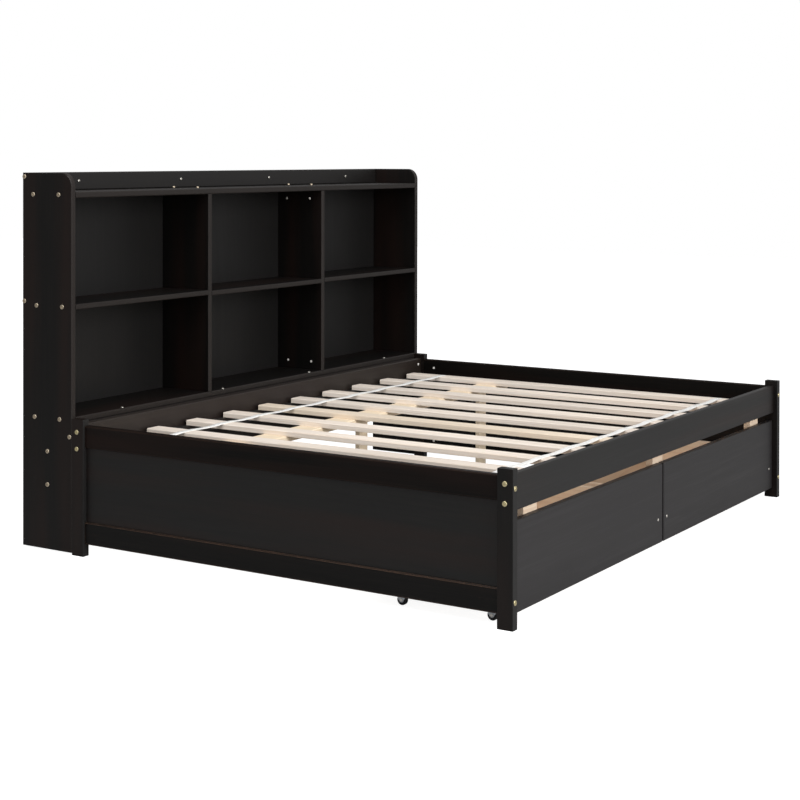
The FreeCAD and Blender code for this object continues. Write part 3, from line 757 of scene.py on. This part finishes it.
def make_case_screws(material):
    """The screws in the bottom shelf and in the lip."""
    mesh = bmesh.new()
    for corners in islands("case_screws"):
        bolt = Bolt(corners)
        screw_head(mesh, pointing(bolt.top, bolt.way), bolt.head_radius, bolt.head, bolt.length)
    piece = finish_mesh(mesh, "case_screw_heads", material)
    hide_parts("case_screws")
    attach(piece, "bed_frame")


def make_drawer_screws(side, material):
    """The two screws that show on a drawer's front, over the ends of the box's walls."""
    low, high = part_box("drawer_" + side + "_front")
    mesh = bmesh.new()
    for wall in ("left", "right"):
        wall_low, wall_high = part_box("drawer_" + side + "_wall_" + wall)
        x = (wall_low.x + wall_high.x) / 2 + DRAWER_SCREW_SHIFT
        top = Vector((x, low.y - DRAWER_SCREW_PROUD, DRAWER_SCREW_Z))
        matrix = pointing(top, Vector((0, 1, 0)))
        screw_head(mesh, matrix, DRAWER_SCREW_RADIUS, DRAWER_SCREW_PROUD, DRAWER_SCREW_LENGTH)
    piece = finish_mesh(mesh, "drawer_" + side + "_screws", material)
    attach(piece, "drawer_" + side)


class Slat:
    """One slat: the X of its two long sides at any place across the bed."""

    def __init__(self, corners):
        self.corners = sorted(corners, key=lambda p: p.y)

    def span(self, y):
        """The low and high X of the slat at a distance across the bed."""
        half = len(self.corners) // 2
        ends = []
        for group in (self.corners[:half], self.corners[half:]):
            at = sum(p.y for p in group) / half
            ends.append((at, min(p.x for p in group), max(p.x for p in group)))
        (y0, low0, high0), (y1, low1, high1) = ends
        share = (y - y0) / (y1 - y0)
        return low0 + (low1 - low0) * share, high0 + (high1 - high0) * share


def find_slats():
    """The slats from the left end to the right."""
    return [Slat(c) for c in sorted(islands("slats"), key=lambda c: sum(p.x for p in c) / len(c))]


def webbing_drop(x, spans):
    """How far the webbing dips below the slats' tops at a place along the bed."""
    for (_, left), (right, _) in zip(spans, spans[1:]):
        if left < x < right:
            share = (x - left) / (right - left)
            return WEBBING_SAG * 4 * share * (1 - share)
    return 0.0


def webbing_sway(x, middle):
    """How far the webbing strays sideways at a place along the bed."""
    return SLOW_SWAY * math.sin(x * 5.1 + middle * 9) + QUICK_SWAY * math.sin(x * 17.3)


def webbing_section(half, thick):
    """The webbing's outline across it, with eased edges."""
    ease = thick * 0.35
    return [
        (-half, ease), (-half, thick - ease), (-half + ease, thick), (0, thick * 0.94),
        (half - ease, thick), (half, thick - ease), (half, ease), (half - ease, 0),
        (0, 0), (-half + ease, 0),
    ]


def make_strap(node, material, slats):
    """One webbing strap, stapled to each slat and dipping a little between them.

    Gives the strap's middle and its top, for the staples.
    """
    low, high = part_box(node)
    count = round((high.x - low.x) / WEBBING_STEP)
    half = (high.y - low.y) / 2
    middle = (low.y + high.y) / 2
    section = webbing_section(half, high.z - low.z)
    spans = [slat.span(middle) for slat in slats]
    mesh = bmesh.new()
    rings = []
    for index in range(count + 1):
        x = low.x + (high.x - low.x) * index / count
        sway = webbing_sway(x, middle)
        drop = webbing_drop(x, spans)
        rings.append([mesh.verts.new((x, middle + y + sway, low.z + z - drop)) for y, z in section])
    sides = len(section)
    for back, front in zip(rings, rings[1:]):
        for k in range(sides):
            mesh.faces.new([back[k], back[(k + 1) % sides], front[(k + 1) % sides], front[k]])
    mesh.faces.new(rings[0])
    mesh.faces.new(rings[-1])
    piece = finish_mesh(mesh, node + "_webbing", material, 60.0)
    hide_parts(node)
    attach(piece, "bed_frame")
    return middle, high.z


def make_staples(places, material, slats):
    """Two wire staples on each slat and strap, along the slat's length."""
    mesh = bmesh.new()
    wire = STAPLE_WIRE
    size = Matrix.Diagonal((wire * 1.4, STAPLE_WIDTH, wire, 1.0))
    for middle, top in places:
        for slat in slats:
            left, right = slat.span(middle)
            for share in STAPLE_PLACES:
                x = left + (right - left) * share
                centre = Vector((x, middle, top - wire * 0.15))
                matrix = Matrix.Translation(centre) @ size
                made = bmesh.ops.create_cube(mesh, size=1.0, matrix=matrix)
                edges = {edge for vert in made["verts"] for edge in vert.link_edges}
                bmesh.ops.bevel(mesh, geom=list(edges), offset=wire * 0.3, segments=2, affect="EDGES")
    piece = finish_mesh(mesh, "strap_staples", material)
    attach(piece, "bed_frame")


def wheel_profile(width, radius):
    """A closed section: rounded tread, dished web and a hub round the axle."""
    half = [
        (0.0, WHEEL_BORE), (0.0, WHEEL_BORE + 2.2 * MM), (1.4 * MM, WHEEL_BORE + 2.8 * MM),
        (1.4 * MM, radius - 3.6 * MM), (0.0, radius - 3.0 * MM), (0.0, radius - 1.6 * MM),
        (0.45 * MM, radius - 0.5 * MM), (1.6 * MM, radius),
    ]
    return half + [(width - along, reach) for along, reach in reversed(half)] + [half[0]]


def make_wheel(node, body, material):
    """A moulded wheel."""
    low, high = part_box(node)
    middle = (low + high) / 2
    start = Vector((low.x, middle.y, middle.z))
    profile = wheel_profile(high.x - low.x, (high.z - low.z) / 2)
    mesh = bmesh.new()
    turned(mesh, profile, WHEEL_SIDES, pointing(start, (1, 0, 0)))
    bmesh.ops.remove_doubles(mesh, verts=mesh.verts, dist=1e-7)
    piece = finish_mesh(mesh, node + "_moulding", material)
    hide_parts(node)
    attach(piece, body)


def make_camera():
    """The camera of the photograph."""
    data = bpy.data.cameras.new("camera")
    camera = bpy.data.objects.new("camera", data)
    bpy.context.scene.collection.objects.link(camera)
    data.sensor_width = SENSOR
    data.lens = FOCAL_PIXELS / PICTURE_SIDE * SENSOR
    data.shift_x = (PICTURE_SIDE / 2 - CENTRE_PIXEL[0]) / PICTURE_SIDE
    data.shift_y = (CENTRE_PIXEL[1] - PICTURE_SIDE / 2) / PICTURE_SIDE
    data.clip_end = CAMERA_REACH
    forward = Vector((math.cos(CAMERA_YAW) * math.cos(CAMERA_PITCH),
                      math.sin(CAMERA_YAW) * math.cos(CAMERA_PITCH), math.sin(CAMERA_PITCH)))
    roll = Matrix.Rotation(CAMERA_ROLL, 3, "Z").to_quaternion()
    camera.rotation_mode = "QUATERNION"
    camera.rotation_quaternion = forward.to_track_quat("-Z", "Y") @ roll
    camera.location = CAMERA_AT
    bpy.context.scene.camera = camera


def area_light(name, at, target, size, power):
    """A soft box."""
    data = bpy.data.lights.new(name, "AREA")
    data.shape = "RECTANGLE"
    data.size, data.size_y = size
    data.energy = power
    light = bpy.data.objects.new(name, data)
    bpy.context.scene.collection.objects.link(light)
    light.location = at
    light.rotation_mode = "QUATERNION"
    light.rotation_quaternion = (Vector(target) - Vector(at)).to_track_quat("-Z", "Y")


def make_world():
    """A white background for the camera, and for the rest a soft fill, brighter in front."""
    world = bpy.data.worlds.new("studio")
    bpy.context.scene.world = world
    tree = Tree(world)
    direction = tree.add("ShaderNodeTexCoord").outputs["Generated"]
    fill = tree.spread(tree.dot(direction, FILL_FROM), FILL_BEHIND, FILL_BEFORE, start=-1.0)
    seen = tree.add("ShaderNodeLightPath").outputs["Is Camera Ray"]
    background = tree.nodes["Background"]
    background.inputs["Color"].default_value = WHITE
    tree.put(background.inputs["Strength"], tree.math("MAXIMUM", fill, seen))


def make_floor():
    """A plain pale floor that keeps a faint shadow."""
    tree = Finish("floor_paint")
    tree.set(Base_Color=FLOOR_GREY, Roughness=0.9, Specular_IOR_Level=0.0)
    seen = tree.add("ShaderNodeLightPath").outputs["Is Camera Ray"]
    strength = tree.math("MULTIPLY", seen, FLOOR_GLOW)
    glow = tree.add("ShaderNodeEmission", {"Color": WHITE, "Strength": strength})
    both = tree.add("ShaderNodeAddShader", {0: tree.shader.outputs[0], 1: glow.outputs[0]})
    tree.put(tree.output.inputs["Surface"], both.outputs[0])
    mesh = bmesh.new()
    bmesh.ops.create_grid(mesh, x_segments=1, y_segments=1, size=FLOOR_HALF)
    floor = finish_mesh(mesh, "floor", tree.material)


def make_studio():
    """Camera, lamps, world and floor."""
    make_camera()
    make_world()
    make_floor()
    area_light("front_softbox", *FRONT_SOFTBOX)
    area_light("top_softbox", *TOP_SOFTBOX)
    bpy.context.scene.view_settings.view_transform = "Standard"


def make_object():
    """Every surface and added piece of the bed."""
    brass = metal("yellow_brass", (0.66, 0.58, 0.35), (0.28, 0.23, 0.12), 0.33, 0.8)
    antique = metal("antique_brass", (0.54, 0.46, 0.35), (0.22, 0.17, 0.12), 0.38, 0.8)
    steel = metal("zinc_plate", (0.80, 0.77, 0.71), (0.60, 0.57, 0.51), 0.40, 0.5)
    dull = metal("dull_zinc_plate", (0.86, 0.84, 0.80), (0.66, 0.64, 0.60), 0.50, 0.5, 0.15)
    pressed = metal("pressed_steel", (0.52, 0.54, 0.57), (0.34, 0.36, 0.39), 0.40, 0.6)
    plastic = plastic_material()
    webbing = webbing_material()
    dress_wood()
    make_bolts("post_bolts", "post_bolt_set", brass)
    make_bolts("case_bolts", "case_bolt_set", antique)
    make_nuts("barrel_nuts", "barrel_nut_set", dull)
    make_case_screws(steel)
    slats = find_slats()
    places = [make_strap(node, webbing, slats) for node in ("strap_front", "strap_rear")]
    make_staples(places, steel, slats)
    for side in ("left", "right"):
        make_drawer_screws(side, steel)
        dress("drawer_" + side + "_forks", pressed)
        dress("drawer_" + side + "_axles", steel)
        for row in ("front", "rear"):
            for column in ("left", "right"):
                node = "drawer_" + side + "_wheel_" + row + "_" + column
                make_wheel(node, node, plastic)


make_object()
make_studio()
